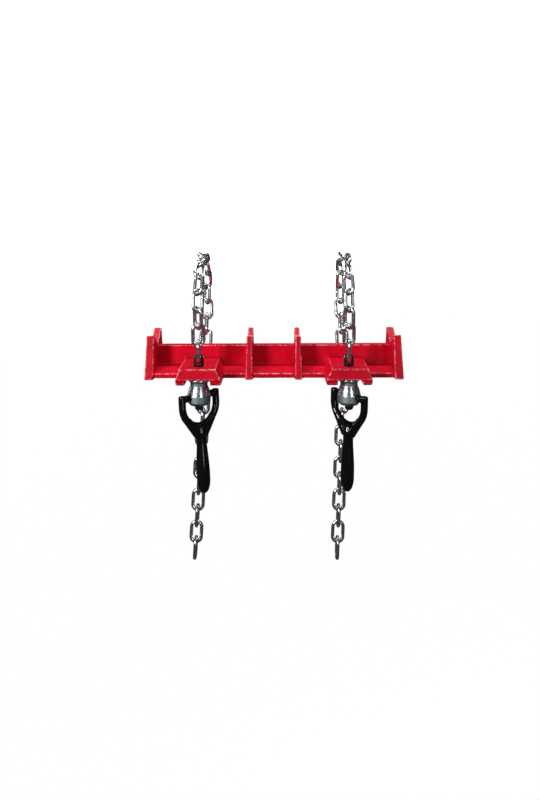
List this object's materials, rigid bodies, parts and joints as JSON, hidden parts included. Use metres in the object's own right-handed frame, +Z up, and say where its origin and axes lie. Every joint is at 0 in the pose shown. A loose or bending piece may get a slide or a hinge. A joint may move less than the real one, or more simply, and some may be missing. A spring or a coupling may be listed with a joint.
{
  "type": "straight chain pipe clamp",
  "caption": "Cast beam with vee seats that holds two pipe ends in line, pulled down by hand-screwed chains with fork handles and hooked chain tails.",
  "frame": {"origin": "on the axis of the clamped pipe, at the middle of the beam's length", "axes": "+X along the pipe, +Y towards the chain hooks at the back (the screws are on the -Y side), +Z up, away from the beam"},
  "size_m": [0.382, 0.1597, 0.488],
  "materials": {
    "red_paint": "semi-gloss paint over cast iron",
    "black_oxide": "oiled black oxide steel",
    "black_handle": "gloss black enamel on forged steel",
    "zinc_chain": "bright zinc plate",
    "zinc_hardware": "turned steel with zinc plate"
  },
  "bodies": {
    "base": {"base_casting": "red_paint", "thrust_washer_left": "zinc_hardware", "thrust_washer_right": "zinc_hardware", "chain_front_left": "zinc_chain", "chain_front_right": "zinc_chain", "chain_over_left": "zinc_chain", "chain_over_right": "zinc_chain"},
    "screw_left": {"chain_screw_left": "black_oxide", "clevis_pin_left": "zinc_hardware"},
    "nut_left": {"handle_nut_left": "zinc_hardware"},
    "handle_left": {"fork_handle_left": "black_handle"},
    "rear_left": {"chain_rear_left": "zinc_chain"},
    "tail_a_left": {"chain_tail_a_left": "zinc_chain"},
    "tail_b_left": {"chain_tail_b_left": "zinc_chain"},
    "tail_c_left": {"chain_tail_c_left": "zinc_chain"},
    "tail_d_left": {"chain_tail_d_left": "zinc_chain"},
    "tail_e_left": {"chain_tail_e_left": "zinc_chain"},
    "screw_right": {"chain_screw_right": "black_oxide", "clevis_pin_right": "zinc_hardware"},
    "nut_right": {"handle_nut_right": "zinc_hardware"},
    "handle_right": {"fork_handle_right": "black_handle"},
    "rear_right": {"chain_rear_right": "zinc_chain"},
    "tail_a_right": {"chain_tail_a_right": "zinc_chain"},
    "tail_b_right": {"chain_tail_b_right": "zinc_chain"},
    "tail_c_right": {"chain_tail_c_right": "zinc_chain"},
    "tail_d_right": {"chain_tail_d_right": "zinc_chain"},
    "tail_e_right": {"chain_tail_e_right": "zinc_chain"}
  },
  "joints": [
    {"name": "nut_spin_left", "type": "hinge", "parent": "base", "child": "nut_left", "pos_m": [-0.10925, -0.056, -0.12], "axis": [0, 0, -1], "range_deg": [0, 1080]},
    {"name": "screw_slide_left", "type": "slide", "parent": "base", "child": "screw_left", "axis": [0, 0, 1], "range_m": [0, 0.009]},
    {"name": "handle_swing_left", "type": "hinge", "parent": "nut_left", "child": "handle_left", "pos_m": [-0.10925, -0.056, -0.1313], "axis": [0.7314, 0.682, 0], "range_deg": [-85, 95]},
    {"name": "hook_swing_left", "type": "hinge", "parent": "base", "child": "rear_left", "pos_m": [-0.10925, 0.04691, -0.05438], "axis": [1, 0, 0], "range_deg": [0, 40]},
    {"name": "tail_swing_a_left", "type": "hinge", "parent": "rear_left", "child": "tail_a_left", "pos_m": [-0.10925, 0.02528, -0.10034], "axis": [1, 0, 0], "range_deg": [-8, 40]},
    {"name": "tail_swing_b_left", "type": "hinge", "parent": "tail_a_left", "child": "tail_b_left", "pos_m": [-0.10925, 0.02528, -0.12574], "axis": [0, 1, 0], "range_deg": [-33.5, 26.5]},
    {"name": "tail_swing_c_left", "type": "hinge", "parent": "tail_b_left", "child": "tail_c_left", "pos_m": [-0.1139, 0.02528, -0.2018], "axis": [0.9981, 0, -0.061], "range_deg": [-12, 20]},
    {"name": "tail_swing_d_left", "type": "hinge", "parent": "tail_c_left", "child": "tail_d_left", "pos_m": [-0.11545, 0.02528, -0.22715], "axis": [0, 1, 0], "range_deg": [-25, 25]},
    {"name": "tail_swing_e_left", "type": "hinge", "parent": "tail_d_left", "child": "tail_e_left", "pos_m": [-0.1201, 0.02528, -0.30321], "axis": [0.9981, 0, -0.061], "range_deg": [-15, 20]},
    {"name": "nut_spin_right", "type": "hinge", "parent": "base", "child": "nut_right", "pos_m": [0.10925, -0.056, -0.12], "axis": [0, 0, -1], "range_deg": [0, 1080]},
    {"name": "screw_slide_right", "type": "slide", "parent": "base", "child": "screw_right", "axis": [0, 0, 1], "range_m": [0, 0.009]},
    {"name": "handle_swing_right", "type": "hinge", "parent": "nut_right", "child": "handle_right", "pos_m": [0.10925, -0.056, -0.1313], "axis": [0.6428, -0.766, 0], "range_deg": [-87.8, 92.2]},
    {"name": "hook_swing_right", "type": "hinge", "parent": "base", "child": "rear_right", "pos_m": [0.10925, 0.04691, -0.05438], "axis": [1, 0, 0], "range_deg": [0, 40]},
    {"name": "tail_swing_a_right", "type": "hinge", "parent": "rear_right", "child": "tail_a_right", "pos_m": [0.10925, 0.02528, -0.10034], "axis": [1, 0, 0], "range_deg": [-8, 40]},
    {"name": "tail_swing_b_right", "type": "hinge", "parent": "tail_a_right", "child": "tail_b_right", "pos_m": [0.10925, 0.02528, -0.12574], "axis": [0, 1, 0], "range_deg": [-32.3, 27.7]},
    {"name": "tail_swing_c_right", "type": "hinge", "parent": "tail_b_right", "child": "tail_c_right", "pos_m": [0.10619, 0.02528, -0.20188], "axis": [0.9992, 0, -0.0401], "range_deg": [-12, 20]},
    {"name": "tail_swing_d_right", "type": "hinge", "parent": "tail_c_right", "child": "tail_d_right", "pos_m": [0.10517, 0.02528, -0.22726], "axis": [0, 1, 0], "range_deg": [-25, 25]},
    {"name": "tail_swing_e_right", "type": "hinge", "parent": "tail_d_right", "child": "tail_e_right", "pos_m": [0.10211, 0.02528, -0.3034], "axis": [0.9992, 0, -0.0401], "range_deg": [-15, 20]}
  ],
  "couplings": [
    {"joint": "screw_slide_left", "follows": "nut_spin_left", "m_per_rad": 0.00047746},
    {"joint": "screw_slide_right", "follows": "nut_spin_right", "m_per_rad": 0.00047746}
  ]
}
